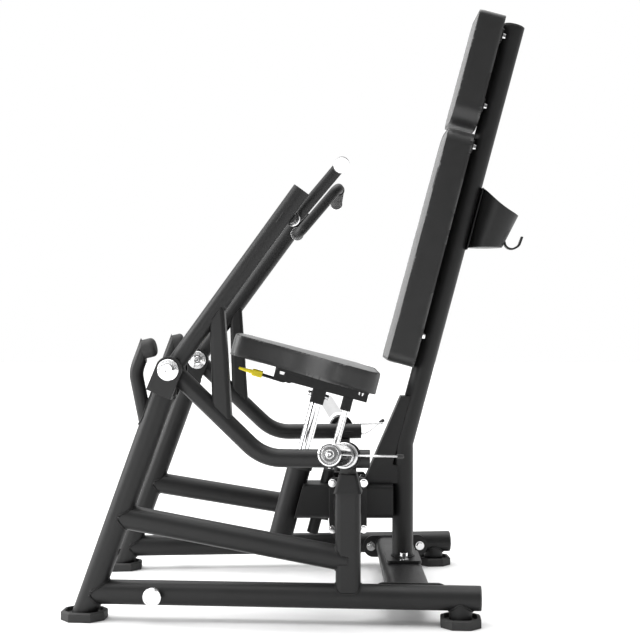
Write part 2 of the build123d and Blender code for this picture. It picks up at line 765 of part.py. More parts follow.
with BuildPart() as upper_tube:
    bar(pivot, arm_top, arm_d, arm_d - 2 * arm_wall)
    bar(arm_top, arm_top + arm_way * 3, arm_d)
    bar(pivot - side.z_dir * 60, pivot + side.z_dir * 60, hub_d, mode=Mode.SUBTRACT)
save_pair(upper_tube, "arm_upper_tube")

horn_root = on_side(horn_x, arm_low_z + horn_lift)
horn_way = Vector(
    -sin(radians(horn_sweep)) * cos(radians(horn_rise)),
    -cos(radians(horn_sweep)) * cos(radians(horn_rise)),
    sin(radians(horn_rise)),
)
flange_start = arm_d / 2 + 2
flange_end = flange_start + 8
with BuildPart() as lower_tube:
    bent_bar([pivot, on_side(bend_x, arm_low_z), on_side(arm_low_end_x, arm_low_z)], arm_bend_r, arm_d)
    bar(horn_root, horn_root + horn_way * flange_start, 44)
    bar(horn_root + horn_way * flange_start, horn_root + horn_way * flange_end, horn_flange_d)
    bar(pivot - side.z_dir * 60, pivot + side.z_dir * 60, hub_d, mode=Mode.SUBTRACT)
    bar(pivot, arm_top, arm_d, mode=Mode.SUBTRACT)
    keep_main(lower_tube)
save_pair(lower_tube, "arm_lower_tube")

strut_top_x = -209.7
strut_low_x = -196.7
strut_top = on_side(strut_top_x, pivot_z + (strut_top_x - pivot_x) * tan(radians(arm_lean)))
strut_low = on_side(strut_low_x, pivot_z - (strut_low_x - pivot_x) * arm_low_run)
strut_way = (strut_top - strut_low).normalized()
with BuildPart() as strut:
    with BuildSketch(Plane(origin=strut_low, x_dir=side.z_dir, z_dir=strut_way)) as strut_foot:
        RectangleRounded(40, 47, 10)
    with BuildSketch(Plane(origin=strut_top, x_dir=side.z_dir, z_dir=strut_way)) as strut_head:
        RectangleRounded(40, 36, 10)
    loft([strut_foot.sketch, strut_head.sketch])
    bar(pivot, arm_top, arm_d, mode=Mode.SUBTRACT)
    bar(pivot, on_side(bend_x, arm_low_z), arm_d, mode=Mode.SUBTRACT)
    keep_main(strut)
save_pair(strut, "arm_strut")

# The handle leaves the arm's inner side, climbs beside it and turns outward to the grip.
handle_root = pivot + arm_way * handle_start + arm_perp * 15
handle_turn = pivot + arm_way * (handle_start + 4) + arm_perp * 22 - side.z_dir * handle_inset
handle_top = pivot + arm_way * handle_end + arm_perp * 35 - side.z_dir * handle_inset
grip_way = Vector(-5, -223, -32).normalized()
grip_root = handle_top + grip_way * 40
grip_end = handle_top + grip_way * grip_reach
with BuildPart() as handle:
    bent_bar([handle_root, handle_turn, handle_top, grip_end], 26, handle_d)
    bar(pivot, arm_top, arm_d, mode=Mode.SUBTRACT)
save_pair(handle, "handle")

with BuildPart() as grip:
    bar(grip_root, grip_end - grip_way * 8, grip_d, handle_d)
save_pair(grip, "grip")

# Bright rings: one where the handle leaves the arm and one that closes the grip.
with BuildPart() as trim:
    ring_way = (handle_turn - handle_root).normalized()
    bar(handle_root + ring_way * 24, handle_root + ring_way * 33, 39, handle_d)
    bar(pivot, arm_top, arm_d, mode=Mode.SUBTRACT)
    bar(grip_end - grip_way * 8, grip_end, 37, handle_d)
    bar(grip_end, grip_end + grip_way * 5, 37)
save_pair(trim, "handle_rings")

with BuildPart() as horn:
    bar(horn_root + horn_way * flange_end, horn_root + horn_way * horn_sleeve_start, horn_root_d)
    bar(horn_root + horn_way * horn_sleeve_start, horn_root + horn_way * horn_length, horn_d)
    chamfer(horn.faces().sort_by(Axis.Y)[0].edges(), 2)
save_pair(horn, "plate_horn")

# ---- Spring collars ----
wire_d = 6.0
handle_wire = 5.0
coil_turns = 5
coil_pitch = 5.6
coil_r = horn_d / 2 + gap + wire_d / 2
coil_start = flange_end + 28
coil_length = coil_turns * coil_pitch


def spring_collar(fork_way):
    """Build the left collar: a close coil and a forked wire handle that opens towards fork_way."""
    first = horn_root + horn_way * (coil_start + coil_pitch / 2)
    middle = first + horn_way * ((coil_turns - 1) * coil_pitch / 2)
    reach = Vector(cos(radians(horn_sweep)), -sin(radians(horn_sweep)), 0)
    coil_plane = Plane(origin=first, x_dir=reach, z_dir=horn_way)
    with BuildPart() as collar:
        with BuildSketch(Plane(origin=first, x_dir=reach, z_dir=reach.cross(horn_way))) as wires:
            with Locations([(coil_r, turn_no * coil_pitch) for turn_no in range(coil_turns)]):
                Circle(wire_d / 2)
        revolve(wires.sketch, axis=Axis(first, horn_way))
        bar(middle + reach * coil_r, middle + reach * 130, handle_wire)
        bent_bar(
            [
                middle + reach * (coil_r - 0.5) + fork_way * 4.5,
                middle + reach * 74 + fork_way * 36,
                middle + reach * 132 + fork_way * -5,
            ],
            8,
            handle_wire - 0.4,
        )
        bar(middle + reach * 124 + fork_way * 0.5, middle + reach * 138 + fork_way * -9, 11)
    return collar


save(spring_collar(horn_way), "left_spring_collar")
far_collar = spring_collar(Vector(0, 0, -1))
with BuildPart() as right_collar:
    mirror(far_collar.part, about=Plane.XZ)
save(right_collar, "right_spring_collar")

print("files", len([name for name in os.listdir("parts") if name.endswith(".step")]))
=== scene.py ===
import json
from math import cos, pi, radians, sin, tanh

import bmesh
import bpy
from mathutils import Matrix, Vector, noise
from mathutils.bvhtree import BVHTree


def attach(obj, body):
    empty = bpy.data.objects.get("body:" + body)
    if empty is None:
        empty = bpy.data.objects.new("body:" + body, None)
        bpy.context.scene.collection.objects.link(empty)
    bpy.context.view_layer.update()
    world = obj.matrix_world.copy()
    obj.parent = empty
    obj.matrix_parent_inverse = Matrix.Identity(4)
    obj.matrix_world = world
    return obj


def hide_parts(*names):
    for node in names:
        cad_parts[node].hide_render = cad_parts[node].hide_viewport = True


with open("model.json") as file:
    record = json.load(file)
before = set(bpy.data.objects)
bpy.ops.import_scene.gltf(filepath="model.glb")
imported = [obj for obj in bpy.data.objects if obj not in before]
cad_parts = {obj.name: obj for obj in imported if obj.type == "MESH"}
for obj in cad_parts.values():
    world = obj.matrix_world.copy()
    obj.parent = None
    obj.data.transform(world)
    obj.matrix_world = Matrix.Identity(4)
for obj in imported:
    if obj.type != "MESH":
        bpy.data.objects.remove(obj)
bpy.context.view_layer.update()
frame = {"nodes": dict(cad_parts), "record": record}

scene = bpy.context.scene
nodes = frame["nodes"]

# ---------------------------------------------------------------- the machine's frames and sizes, in metres
TURN = radians(4.25)
TILT = radians(15)
HALF = 0.3194
ALONG = Vector((cos(TURN), -sin(TURN), 0))
OUT = Vector((-sin(TURN), -cos(TURN), 0))
UP = Vector((0, 0, 1))
POST_X = 0.2659
SEAT_O = Vector((0.0498, 0, 0.5795))
SEAT_U = Vector((cos(TILT), 0, -sin(TILT)))
SEAT_W = Vector((sin(TILT), 0, cos(TILT)))
BACK_O = Vector((POST_X, 0, 0.4006))
BACK_T = Vector((sin(TILT), 0, cos(TILT)))
BACK_M = Vector((-cos(TILT), 0, sin(TILT)))
AXIS_X = Vector((1, 0, 0))
AXIS_Y = Vector((0, 1, 0))


def on_side(x, z, out=0.0):
    """A point at a given X and Z at a distance outward from the left side frame."""
    point = Vector((0, -HALF, 0)) + ALONG * ((x + sin(TURN) * out) / cos(TURN)) + OUT * out
    point.z = z
    return point


def on_seat(u, y, w):
    """A point on the leaning seat: along it toward the back, across, and up from its underside."""
    return SEAT_O + SEAT_U * u + AXIS_Y * y + SEAT_W * w


def on_back(t, y, m):
    """A point at the back rest: up along the post, across, and forward from the post."""
    return BACK_O + BACK_T * t + AXIS_Y * y + BACK_M * m


LEG_LEAN = radians(19.9)
PIVOT = on_side(-0.3227, 0.6165)
LEG_UP = (ALONG * sin(LEG_LEAN) + UP * cos(LEG_LEAN)).normalized()
ARM_LEAN = radians(53.8)
ARM_WAY = (ALONG * cos(ARM_LEAN) + UP * sin(ARM_LEAN)).normalized()
ARM_PERP = (ALONG * sin(ARM_LEAN) - UP * cos(ARM_LEAN)).normalized()
SWEEP, RISE = radians(6.93), radians(7.5)
HORN_ROOT = on_side(0.1093, 0.4067)
HORN_WAY = Vector((-sin(SWEEP) * cos(RISE), -cos(SWEEP) * cos(RISE), sin(RISE)))
HORN_LENGTH = 0.3915
UPRIGHT_X = 0.1108
RAIL_Z, CROSS_TUBE_Z = 0.066, 0.241
BRACE_Z, BRACE_SLOPE = 0.2545, 0.1763
TUBE_R = 0.03015


def mirrored(point):
    """The same point on the machine's other side."""
    return Vector((point[0], -point[1], point[2]))


def on_leg(z):
    """The point at a given height on the left leg's middle line."""
    return PIVOT - LEG_UP * ((PIVOT.z - z) / LEG_UP.z)


# ---------------------------------------------------------------- materials
class Nodes:
    """A short way to write a material's nodes."""

    def __init__(self, name):
        self.material = bpy.data.materials.new(name)
        self.material.use_nodes = True
        self.tree = self.material.node_tree
        self.tree.nodes.clear()
        self.out = self.tree.nodes.new("ShaderNodeOutputMaterial")
        self.shader = self.tree.nodes.new("ShaderNodeBsdfPrincipled")
        self.tree.links.new(self.shader.outputs[0], self.out.inputs[0])
        coords = self.tree.nodes.new("ShaderNodeTexCoord")
        self.coords = coords.outputs["Object"]

    def add(self, kind, inputs=None, **settings):
        node = self.tree.nodes.new("ShaderNode" + kind)
        for key, value in settings.items():
            setattr(node, key, value)
        for key, value in (inputs or {}).items():
            self.put(node, key, value)
        return node

    def put(self, node, key, value):
        socket = node.inputs[key]
        if isinstance(value, bpy.types.NodeSocket):
            self.tree.links.new(value, socket)
        else:
            socket.default_value = value

    def noise(self, scale, detail=3.0, rough=0.5, vector=None, distortion=0.0):
        node = self.add("TexNoise", {"Vector": vector or self.coords, "Scale": scale, "Detail": detail,
                                     "Roughness": rough, "Distortion": distortion})
        return node.outputs["Fac"]

    def cells(self, scale, feature="DISTANCE_TO_EDGE", vector=None):
        node = self.add("TexVoronoi", {"Vector": vector or self.coords, "Scale": scale}, feature=feature)
        return node.outputs["Distance"]

    def span(self, value, low, high, to_low, to_high):
        node = self.add("MapRange", {"Value": value, "From Min": low, "From Max": high,
                                     "To Min": to_low, "To Max": to_high})
        return node.outputs["Result"]

    def blend(self, fac, first, second):
        node = self.add("Mix", data_type="RGBA")
        for socket, value in ((0, fac), (6, first), (7, second)):
            if isinstance(value, bpy.types.NodeSocket):
                self.tree.links.new(value, node.inputs[socket])
            else:
                node.inputs[socket].default_value = value
        return node.outputs[2]

    def math(self, operation, first, second=0.0):
        node = self.add("Math", operation=operation)
        for socket, value in ((0, first), (1, second)):
            if isinstance(value, bpy.types.NodeSocket):
                self.tree.links.new(value, node.inputs[socket])
            else:
                node.inputs[socket].default_value = value
        return node.outputs[0]

    def bump(self, height, distance, strength=1.0, normal=None):
        inputs = {"Height": height, "Distance": distance, "Strength": strength}
        if normal is not None:
            inputs["Normal"] = normal
        return self.add("Bump", inputs).outputs["Normal"]

    def bevel(self, radius):
        return self.add("Bevel", {"Radius": radius}, samples=6).outputs["Normal"]

    def set(self, **values):
        for key, value in values.items():
            self.put(self.shader, key.replace("_", " "), value)


def grey(value, tint=(1, 1, 1)):
    return (value * tint[0], value * tint[1], value * tint[2], 1)


def paint_material():
    """Black textured powder coat: fine orange peel, faint dust and lighter rubbed edges."""
    n = Nodes("powder_coat")
    fine = n.noise(900, 2)
    broad = n.noise(9, 4, 0.6)
    specks = n.cells(700, "F1")
    base = n.bevel(0.0022)
    raw = n.add("NewGeometry").outputs["Normal"]
    edge = n.add("VectorMath", {0: base, 1: raw}, operation="DOT_PRODUCT").outputs["Value"]
    rub = n.span(edge, 0.93, 0.80, 0.0, 1.0)
    rub = n.math("MULTIPLY", rub, n.span(n.noise(60, 4, 0.7), 0.45, 0.7, 0.0, 0.6))
    colour = n.blend(n.span(broad, 0.3, 0.7, 0.0, 1.0), grey(0.0075), grey(0.011, (1, 1, 1.03)))
    colour = n.blend(rub, colour, grey(0.045))
    height = n.math("ADD", n.math("MULTIPLY", fine, 0.7), n.math("MULTIPLY", specks, 0.5))
    gloss = n.math("ADD", broad, n.math("MULTIPLY", fine, 0.4))
    n.set(Base_Color=colour, Roughness=n.span(gloss, 0.4, 1.0, 0.38, 0.52),
          Normal=n.bump(height, 0.00035, 0.4, base))
    n.set(IOR=1.5, Specular_IOR_Level=0.34)
    return n.material


def leather_material(name, tone=0.016, rough=0.42):
    """Black synthetic leather: pebbled grain with wider creases, softly uneven gloss."""
    n = Nodes(name)
    drift = n.add("TexNoise", {"Vector": n.coords, "Scale": 160.0}).outputs["Color"]
    wobble = n.add("VectorMath", {0: drift}, operation="SCALE")
    wobble.inputs["Scale"].default_value = 0.0012
    vector = n.add("VectorMath", {0: n.coords, 1: wobble.outputs[0]}, operation="ADD").outputs[0]
    pebble = n.span(n.cells(620, vector=vector), 0.0, 0.16, 0.0, 1.0)
    small = n.span(n.cells(1500, vector=vector), 0.0, 0.2, 0.0, 1.0)
    crease = n.noise(38, 5, 0.62)
    height = n.math("ADD", n.math("MULTIPLY", pebble, 0.7), n.math("MULTIPLY", small, 0.3))
    tint = n.blend(pebble, grey(tone * 0.55), grey(tone))
    tint = n.blend(n.span(n.noise(5, 3), 0.35, 0.7, 0.0, 0.5), tint, grey(tone * 1.5, (1, 1, 1.02)))
    first = n.bump(crease, 0.002, 0.10)
    gloss = n.math("ADD", n.math("MULTIPLY", pebble, -0.5), crease)
    n.set(Base_Color=tint, Normal=n.bump(height, 0.0002, 0.4, first),
          Roughness=n.span(gloss, -0.2, 0.6, rough - 0.07, rough + 0.1))
    n.set(IOR=1.5, Sheen_Weight=0.25, Sheen_Roughness=0.4)
    return n.material


def chrome_material(name="polished_chrome", tone=0.86, rough=(0.06, 0.14), scratch=0.06):
    """Plated steel: near mirror with fine scratches and fingerprints in its gloss."""
    n = Nodes(name)
    lines = n.noise(420, 4, 0.6)
    smear = n.noise(22, 4, 0.6)
    n.set(Base_Color=n.blend(n.span(smear, 0.3, 0.8, 0.0, 1.0), grey(tone), grey(tone * 0.9, (1, 1, 1.01))),
          Roughness=n.span(n.math("ADD", n.math("MULTIPLY", lines, 0.5), n.math("MULTIPLY", smear, 0.5)),
                           0.35, 0.65, rough[0], rough[1]),
          Normal=n.bump(lines, 0.0001, scratch, n.bevel(0.0008)))
    n.set(Metallic=1.0)
    return n.material


def steel_material():
    """Plain drawn steel with a fine brushed grain."""
    n = Nodes("plain_steel")
    long = n.add("Mapping", {"Vector": n.coords, "Scale": (1200.0, 30.0, 900.0)}).outputs[0]
    lines = n.noise(1.0, 4, 0.6, long)
    n.set(Base_Color=n.blend(lines, grey(0.42), grey(0.56)), Roughness=n.span(lines, 0.3, 0.7, 0.22, 0.42),
          Normal=n.bump(lines, 0.0001, 0.3, n.bevel(0.0006)))
    n.set(Metallic=1.0)
    return n.material


def rubber_material(name="moulded_rubber", tone=0.018, rough=0.72):
    """Matt moulded rubber with a stippled skin and dusty patches."""
    n = Nodes(name)
    stipple = n.noise(1500, 2)
    patch = n.noise(24, 5, 0.65)
    dusty = grey(tone * 2.1, (1, 0.99, 0.97))
    n.set(Base_Color=n.blend(n.span(patch, 0.45, 0.75, 0.0, 1.0), grey(tone), dusty),
          Roughness=n.span(patch, 0.3, 0.7, rough - 0.1, rough + 0.1),
          Normal=n.bump(stipple, 0.0003, 0.4, n.bevel(0.0012)))
    return n.material


def plastic_material(name, colour, darker, rough):
    """Moulded plastic with a faint spark-eroded texture."""
    n = Nodes(name)
    grain = n.noise(1100, 3)
    flow = n.noise(30, 3)
    n.set(Base_Color=n.blend(n.span(flow, 0.3, 0.7, 0.0, 1.0), colour, darker),
          Roughness=n.span(grain, 0.3, 0.7, rough - 0.06, rough + 0.08),
          Normal=n.bump(grain, 0.0002, 0.25, n.bevel(0.001)))
    return n.material


paint = paint_material()
leather = leather_material("upholstery", 0.013, 0.36)
backing = leather_material("pad_backing", 0.010, 0.6)
chrome = chrome_material()
satin = chrome_material("satin_chrome", 0.78, (0.16, 0.28), 0.2)
steel = steel_material()
rubber = rubber_material()
grip_rubber = rubber_material("grip_foam", 0.02, 0.66)
cap_plastic = plastic_material("cap_plastic", grey(0.018), grey(0.026), 0.5)
yellow = plastic_material("yellow_grip", (0.86, 0.72, 0.012, 1), (0.76, 0.62, 0.010, 1), 0.36)
thread = plastic_material("thread", grey(0.03), grey(0.05), 0.7)
label_cloth = plastic_material("label_cloth", grey(0.012), grey(0.02), 0.8)


# ---------------------------------------------------------------- CAD nodes: finish and smooth shading
def smooth(obj, angle=30):
    for polygon in obj.data.polygons:
        polygon.use_smooth = True
    obj.data.update()
    mesh = bmesh.new()
    mesh.from_mesh(obj.data)
    limit = radians(angle)
    for edge in mesh.edges:
        edge.smooth = len(edge.link_faces) == 2 and edge.calc_face_angle(0) < limit
    mesh.to_mesh(obj.data)
    mesh.free()


by_slot = {"frame_paint": paint, "upholstery": leather, "chrome": chrome, "steel": steel, "rubber": rubber,
           "cap_plastic": cap_plastic, "band_peg": paint, "lever_plastic": yellow}
slot_of = {s["node"]: s["material_slot"] for s in frame["record"]["subparts"]}
for name, obj in nodes.items():
    obj.data.materials.clear()
    obj.data.materials.append(by_slot[slot_of[name]])
    for polygon in obj.data.polygons:
        polygon.material_index = 0
    if obj.data.has_custom_normals:
        bpy.context.view_layer.objects.active = obj
        obj.select_set(True)
        bpy.ops.mesh.customdata_custom_splitnormals_clear()
        obj.select_set(False)
    smooth(obj, 28)


# ---------------------------------------------------------------- stage, light and camera
def area_light(name, place, target, size, power):
    """A square soft light that faces a point."""
    data = bpy.data.lights.new(name, "AREA")
    data.energy = power
    data.size = size
    light = bpy.data.objects.new(name, data)
    scene.collection.objects.link(light)
    light.location = place
    light.rotation_mode = "QUATERNION"
    light.rotation_quaternion = (Vector(target) - Vector(place)).to_track_quat("-Z", "Y")


# The axis, where the light starts and stops growing along it, and how much it adds at most.
STUDIO_GAINS = (("Y", -0.2, 0.9, 0.75), ("Z", 0.2, 1.0, 0.65), ("X", -0.3, -1.0, 0.25))
STUDIO_LEAST = 0.06
FLOOR_HALF = 14


def make_world():
    """A white studio: bright behind the machine and overhead, dim behind the camera, plain white if seen."""
    world = bpy.data.worlds.new("studio")
    world.use_nodes = True
    tree = world.node_tree
    back = tree.nodes["Background"]
    coords = tree.nodes.new("ShaderNodeTexCoord")
    split = tree.nodes.new("ShaderNodeSeparateXYZ")
    tree.links.new(coords.outputs["Generated"], split.inputs[0])
    total = None
    for axis, low, high, gain in STUDIO_GAINS:
        part = tree.nodes.new("ShaderNodeMapRange")
        part.interpolation_type = "SMOOTHSTEP"
        part.inputs["From Min"].default_value = low
        part.inputs["From Max"].default_value = high
        part.inputs["To Min"].default_value = STUDIO_LEAST
        part.inputs["To Max"].default_value = gain
        tree.links.new(split.outputs[axis], part.inputs["Value"])
        if total is None:
            total = part.outputs[0]
        else:
            joined = tree.nodes.new("ShaderNodeMath")
            tree.links.new(total, joined.inputs[0])
            tree.links.new(part.outputs[0], joined.inputs[1])
            total = joined.outputs[0]
    seen = tree.nodes.new("ShaderNodeLightPath")
    pick = tree.nodes.new("ShaderNodeMix")
    tree.links.new(seen.outputs["Is Camera Ray"], pick.inputs[0])
    tree.links.new(total, pick.inputs[2])
    pick.inputs[3].default_value = 1.0
    tree.links.new(pick.outputs[0], back.inputs[1])
    back.inputs[0].default_value = (1, 1, 1, 1)
    scene.world = world


def make_stage():
    """A pale floor, the white studio, a broad light overhead and two soft lights."""
    mesh = bpy.data.meshes.new("floor")
    corners = [(sx * FLOOR_HALF, sy * FLOOR_HALF, 0) for sx, sy in ((-1, -1), (1, -1), (1, 1), (-1, 1))]
    mesh.from_pydata(corners, [], [(0, 1, 2, 3)])
    floor = bpy.data.objects.new("floor", mesh)
    scene.collection.objects.link(floor)
    floor.location.z = -0.0005
    n = Nodes("floor")
    n.set(Base_Color=n.blend(n.noise(3, 3), grey(0.88), grey(0.92)),
          Roughness=n.span(n.noise(7, 3), 0.3, 0.7, 0.6, 0.8))
    floor.data.materials.append(n.material)
    make_world()
    data = bpy.data.lights.new("overhead", "SUN")
    data.energy = 3.0
    data.angle = radians(70)
    sun = bpy.data.objects.new("overhead", data)
    scene.collection.objects.link(sun)
    sun.rotation_euler = (radians(-8), radians(-12), 0)
    area_light("camera_softbox", (-1.95, -4.1, 1.0), (0, 0, 0.7), 1.7, 30)
    area_light("left_softbox", (-3.4, -0.2, 1.8), (0, 0, 0.8), 2.2, 110)


# The camera, fitted to the photograph: its focal length, shift and frame are in pixels.
CAMERA_PLACE = (0.047, -3.150, 0.757)
FRAME_PIXELS, FOCAL_PIXELS = 640, 1160
SHIFT_PIXELS = (-2, -8)
SENSOR_MM = 36


def make_camera():
    data = bpy.data.cameras.new("camera")
    data.sensor_width = SENSOR_MM
    data.lens = SENSOR_MM * FOCAL_PIXELS / FRAME_PIXELS
    data.shift_x = SHIFT_PIXELS[0] / FRAME_PIXELS
    data.shift_y = SHIFT_PIXELS[1] / FRAME_PIXELS
    camera = bpy.data.objects.new("camera", data)
    scene.collection.objects.link(camera)
    camera.location = CAMERA_PLACE
    camera.rotation_euler = (radians(90), 0, 0)
    scene.camera = camera


# ---------------------------------------------------------------- mesh helpers
def new_piece(name, verts, faces, material, body, angle=35):
    """Make a mesh object that rides on a body and takes its finish from a slot."""
    mesh = bpy.data.meshes.new(name)
    mesh.from_pydata([tuple(v) for v in verts], [], faces)
    mesh.materials.append(material)
    obj = bpy.data.objects.new(name, mesh)
    scene.collection.objects.link(obj)
    work = bmesh.new()
    work.from_mesh(mesh)
    bmesh.ops.recalc_face_normals(work, faces=work.faces)
    work.to_mesh(mesh)
    work.free()
    smooth(obj, angle)
    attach(obj, body)
    return obj


def square_frame(way):
    """Two unit vectors square to a direction and to each other."""
    way = way.normalized()
    first = way.cross(UP if abs(way.z) < 0.9 else AXIS_Y).normalized()
    return first, way.cross(first)


def tube(points, radius, sides=10, closed=False):
    """Sweep a circle along points. The radius is a number or one number for each point."""
    count = len(points)
    radii = radius if isinstance(radius, list) else [radius] * count
    verts, faces = [], []
    first = None
    for i, point in enumerate(points):
        if closed:
            way = points[(i + 1) % count] - points[i - 1]
        else:
            way = points[min(i + 1, count - 1)] - points[max(i - 1, 0)]
        way.normalize()
        first = square_frame(way)[0] if first is None else (first - way * first.dot(way)).normalized()
        second = way.cross(first)
        for k in range(sides):
            turn = 2 * pi * k / sides
            verts.append(point + (first * cos(turn) + second * sin(turn)) * radii[i])
    for i in range(count if closed else count - 1):
        for k in range(sides):
            a, b = i * sides, ((i + 1) % count) * sides
            faces.append((a + k, a + (k + 1) % sides, b + (k + 1) % sides, b + k))
    if not closed:
        faces.append(tuple(range(sides)))
        faces.append(tuple((count - 1) * sides + k for k in range(sides)))
    return verts, faces


def lathe(origin, way, profile, sides=48):
    """Turn a profile of (radius, distance along) about an axis."""
    first, second = square_frame(way)
    way = way.normalized()
    verts, faces = [], []
    for radius, along in profile:
        for k in range(sides):
            turn = 2 * pi * k / sides
            verts.append(origin + way * along + (first * cos(turn) + second * sin(turn)) * radius)
    for i in range(len(profile) - 1):
        for k in range(sides):
            a, b = i * sides, (i + 1) * sides
            faces.append((a + k, a + (k + 1) % sides, b + (k + 1) % sides, b + k))
    faces.append(tuple(range(sides)))
    faces.append(tuple((len(profile) - 1) * sides + k for k in range(sides)))
    return verts, faces


def joined(parts):
    """Put several (verts, faces) pairs together as one."""
    verts, faces = [], []
    for more_verts, more_faces in parts:
        start = len(verts)
        verts.extend(more_verts)
        faces.extend(tuple(start + k for k in face) for face in more_faces)
    return verts, faces


def mirrored_part(part):
    verts, faces = part
    return [mirrored(v) for v in verts], faces


def surface_of(name):
    """A node's surface at rest, for rays."""
    mesh = nodes[name].data
    return BVHTree.FromPolygons([v.co for v in mesh.vertices], [p.vertices for p in mesh.polygons])


# ---------------------------------------------------------------- weld beads
WELD_R = 0.0021


def ring(centre, way, radius, count=110):
    """Points round a circle that is square to a direction."""
    first, second = square_frame(way)
    turns = [2 * pi * k / count for k in range(count)]
    return [centre + (first * cos(t) + second * sin(t)) * radius for t in turns]


def rounded_box(centre, first, second, width, height, corner):
    """Points round a rectangle with rounded corners."""
    points = []
    corners = ((1, 1, 0), (-1, 1, 0.5), (-1, -1, 1), (1, -1, 1.5))
    for sx, sy, start in corners:
        middle = centre + first * (sx * (width / 2 - corner)) + second * (sy * (height / 2 - corner))
        for k in range(8):
            turn = pi * (start + k / 14)
            points.append(middle + first * (cos(turn) * corner) + second * (sin(turn) * corner))
    filled = []
    for a, b in zip(points, points[1:] + points[:1]):
        steps = max(1, round((b - a).length / 0.0022))
        filled.extend(a.lerp(b, k / steps) for k in range(steps))
    return filled


def bead(section, way, target, size=WELD_R, reach=0.6):
    """Drop a section's outline onto a surface and run a rippled weld bead where it lands."""
    centre = sum(section, Vector()) / len(section)
    way = way.normalized()
    path = []
    for point in section:
        outward = point - centre
        outward = (outward - way * outward.dot(way)).normalized()
        start = point + outward * 0.0004
        hit = target.ray_cast(start, way, reach)[0]
        if hit is None:
            hit = target.find_nearest(start + way * reach * 0.5)[0]
        path.append(hit + outward * size * 0.25 - way * size * 0.25)
    radii = []
    for k in range(len(path)):
        ripple = 0.16 * abs(sin(pi * k / 3.0))
        wander = 0.22 * noise.noise(path[k] * 60)
        radii.append(size * (0.86 + ripple + wander))
    return tube(path, radii, 8, closed=True)


rail_front, rail_rear = on_leg(RAIL_Z), on_side(0.4273, RAIL_Z)
brace_front = on_leg(BRACE_Z)
brace_rear = on_side(UPRIGHT_X, BRACE_Z - BRACE_SLOPE * (UPRIGHT_X - brace_front.x))
cross_tube_mid = Vector((UPRIGHT_X, -0.15, CROSS_TUBE_Z))
LOW_DROP = radians(43.8)
low_way = Vector((ALONG.x * cos(LOW_DROP), ALONG.y * cos(LOW_DROP), -sin(LOW_DROP))).normalized()
stop_low, stop_bend = on_leg(0.455), on_side(-0.4115, 0.609)
HANDLE_IN = 0.062
handle_root = PIVOT + ARM_WAY * 0.472 + ARM_PERP * 0.015
handle_turn = PIVOT + ARM_WAY * 0.476 + ARM_PERP * 0.022 - OUT * HANDLE_IN

frame_welds = [
    bead(ring(rail_rear, ALONG, TUBE_R), rail_front - rail_rear, surface_of("left_leg"), reach=1.2),
    bead(ring(brace_rear, ALONG, TUBE_R), brace_front - brace_rear, surface_of("left_leg"), reach=0.9),
    bead(ring(brace_front, ALONG, TUBE_R), brace_rear - brace_front, surface_of("left_upright"), reach=0.9),
    bead(rounded_box(on_side(UPRIGHT_X, 0.2), ALONG, OUT, 0.060, 0.056, 0.014), -UP, surface_of("left_rail")),
    bead(rounded_box(cross_tube_mid, AXIS_X, UP, 0.060, 0.060, 0.014), -AXIS_Y, surface_of("left_upright")),
    bead(rounded_box(cross_tube_mid, AXIS_X, UP, 0.060, 0.060, 0.014), AXIS_Y, surface_of("cross_tubes")),
    bead(ring(on_leg(0.5), LEG_UP, TUBE_R), LEG_UP, surface_of("left_clevis")),
    bead(ring(stop_bend, stop_low - stop_bend, 0.017), stop_low - stop_bend, surface_of("left_leg"), 0.0022),
    bead(ring(on_side(0.3818, 0.024), UP, 0.028), UP, surface_of("left_rail"), 0.0024),
    bead(rounded_box(Vector((0.2619, -0.2, 0.063)), AXIS_X, UP, 0.108, 0.050, 0.020),
         -AXIS_Y, surface_of("rear_cross_beam"), 0.0024),
]
for side_name, change in (("left", lambda part: part), ("right", mirrored_part)):
    verts, faces = joined([change(part) for part in frame_welds])
    new_piece(side_name + "_frame_welds", verts, faces, paint, "frame", 80)
verts, faces = bead(ring(Vector((POST_X, 0, 0.2)), UP, 0.0285), -UP, surface_of("back_post"), 0.003)
new_piece("post_weld", verts, faces, paint, "frame", 80)

arm_welds = [
    bead(ring(PIVOT + ARM_WAY * 0.12, ARM_WAY, 0.0225), -ARM_WAY, surface_of("left_arm_hub"), 0.0024),
    bead(ring(PIVOT + low_way * 0.10, low_way, 0.0225), -low_way, surface_of("left_arm_hub"), 0.0024),
    bead(ring(HORN_ROOT + HORN_WAY * 0.0242, HORN_WAY, 0.0221), -HORN_WAY,
         surface_of("left_arm_lower_tube"), 0.0022),
    bead(ring(handle_turn, handle_root - handle_turn, 0.015), handle_root - handle_turn,
         surface_of("left_arm_upper_tube"), 0.002),
]
for side_name, change in (("left", lambda part: part), ("right", mirrored_part)):
    verts, faces = joined([change(part) for part in arm_welds])
    new_piece(side_name + "_arm_welds", verts, faces, paint, side_name + "_arm", 80)


# ---------------------------------------------------------------- turned parts, screws, grips and collars
def both_sides(name, part, material, body, replaces=None, angle=35):
    """Make a left piece and its mirror image, each on its own side's body."""
    for side_name, made in (("left", part), ("right", mirrored_part(part))):
        obj = new_piece(side_name + "_" + name, made[0], made[1], material, side_name + body, angle)
        if replaces:
            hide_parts(side_name + replaces)


def both_on_frame(name, part):
    """Make a left chrome piece and its mirror image, both on the frame."""
    for side_name, made in (("left", part), ("right", mirrored_part(part))):
        new_piece(side_name + "_" + name, made[0], made[1], chrome, "frame", 30)


